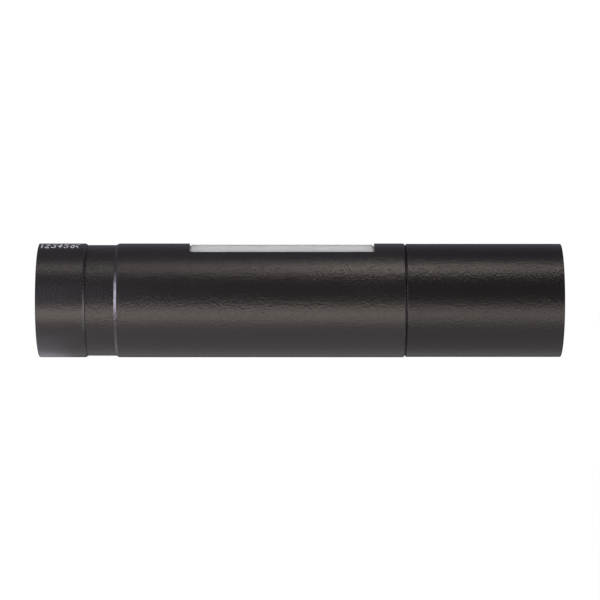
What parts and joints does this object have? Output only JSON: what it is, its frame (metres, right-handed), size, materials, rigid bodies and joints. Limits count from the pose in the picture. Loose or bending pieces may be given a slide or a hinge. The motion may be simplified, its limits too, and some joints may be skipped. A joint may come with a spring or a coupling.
{
  "type": "handheld spotlight torch",
  "caption": "Slim cylindrical torch with a turning focus ring at the head, a light bar under a long clear side window, a screw-off tail tube and a recessed push button in the end.",
  "frame": {"origin": "on the barrel's axis, midway between the two end faces", "axes": "+X along the barrel towards the tail, +Z through the side window, +Y to the right when looking from the tail with the window up"},
  "size_m": [0.1508, 0.033, 0.033],
  "materials": {
    "blasted_black": "bead-blasted, black anodised, satin, fine grain",
    "clear_plastic": "clear moulded polycarbonate, glossy",
    "optic_glass": "polished glass with a faint coating",
    "silicone_clear": "clear silicone dome",
    "seal_rubber": "soft black nitrile rubber",
    "button_rubber": "moulded matt rubber over a stiff core",
    "spring_steel": "bright spring steel",
    "plated_steel": "zinc plated steel",
    "bare_aluminium": "machined, uncoated",
    "black_metal": "matt black anodised",
    "reflector_mirror": "bright vacuum metallised",
    "board_white": "white solder resist",
    "board_green": "green solder resist",
    "ceramic_white": "fired white ceramic",
    "silicone_white": "white silicone",
    "phosphor": "yellow phosphor in silicone",
    "ferrite": "pressed ferrite",
    "capacitor_sleeve": "shrink sleeve",
    "chip_black": "moulded epoxy",
    "brass_ring": "turned brass",
    "lead_red": "insulated wire",
    "lead_black": "insulated wire",
    "solder": "solder",
    "gold_spring": "gold plated spring wire",
    "wound_foil": "tightly wound copper and aluminium foil",
    "nickel_can": "nickel plated steel",
    "card_white": "insulating card",
    "cell_sleeve": "shrink sleeve, plain",
    "magazine_plastic": "moulded nylon"
  },
  "bodies": {
    "barrel": {"main_tube": "blasted_black", "ring_clip": "spring_steel", "focus_o_ring": "seal_rubber", "tail_o_ring": "seal_rubber", "window_gasket": "silicone_white", "window_cover": "clear_plastic", "board_saddle": "bare_aluminium", "cob_board": "board_white", "cob_dam": "silicone_white", "cob_phosphor": "phosphor", "bar_screws": "plated_steel", "gate_disc": "black_metal", "ellipsoidal_reflector": "reflector_mirror", "led_star_board": "board_white", "led_package": "ceramic_white", "led_die": "phosphor", "led_dome": "silicone_clear", "star_screws": "plated_steel", "heat_sink": "bare_aluminium", "driver_spacer": "bare_aluminium", "driver_board": "board_green", "driver_inductor": "ferrite", "driver_capacitor": "capacitor_sleeve", "driver_chips": "chip_black", "driver_ring": "brass_ring", "spot_leads": "lead_red", "star_solder": "solder", "bar_leads": "lead_black", "contact_spring": "gold_spring"},
    "head_ring": {"focus_ring": "blasted_black", "front_glass": "optic_glass", "glass_gasket": "seal_rubber", "glass_retainer": "black_metal"},
    "lens_group": {"lens_carrier": "black_metal", "projection_lens": "optic_glass", "lens_lock_ring": "black_metal", "cam_screws": "plated_steel"},
    "magazine": {"cell_magazine": "magazine_plastic", "cell_can": "nickel_can", "cell_core": "wound_foil", "cell_insulator": "card_white", "cell_terminal": "nickel_can", "cell_wrap": "cell_sleeve"},
    "tail": {"tail_tube": "blasted_black", "magazine_clip": "spring_steel", "switch_retainer": "brass_ring", "switch_board": "board_green", "switch_spacer": "bare_aluminium", "switch_body": "chip_black", "tail_spring": "gold_spring", "button_spring": "spring_steel"},
    "button": {"tail_button": "button_rubber", "button_o_ring": "seal_rubber", "switch_plunger": "board_white"}
  },
  "joints": [
    {"name": "focus_turn", "type": "hinge", "parent": "barrel", "child": "head_ring", "pos_m": [-0.069, 0, 0], "axis": [1, 0, 0], "range_deg": [-45.5, 45.5]},
    {"name": "lens_slide", "type": "slide", "parent": "barrel", "child": "lens_group", "axis": [1, 0, 0], "range_m": [-0.0016, 0.0016]},
    {"name": "tail_slide", "type": "slide", "parent": "barrel", "child": "magazine", "axis": [1, 0, 0], "range_m": [0, 0.006]},
    {"name": "tail_turn", "type": "hinge", "parent": "magazine", "child": "tail", "pos_m": [0.053, 0, 0], "axis": [1, 0, 0], "range_deg": [0, 2165]},
    {"name": "button_press", "type": "slide", "parent": "tail", "child": "button", "axis": [-1, 0, 0], "range_m": [0, 0.0012], "stiffness_N_per_m": 1200, "springref_m": -0.0012, "deforming": ["button_spring"]}
  ],
  "couplings": [
    {"joint": "focus_turn", "follows": "lens_slide", "rad_per_m": 490.87},
    {"joint": "tail_turn", "follows": "tail_slide", "rad_per_m": 6283.2}
  ]
}
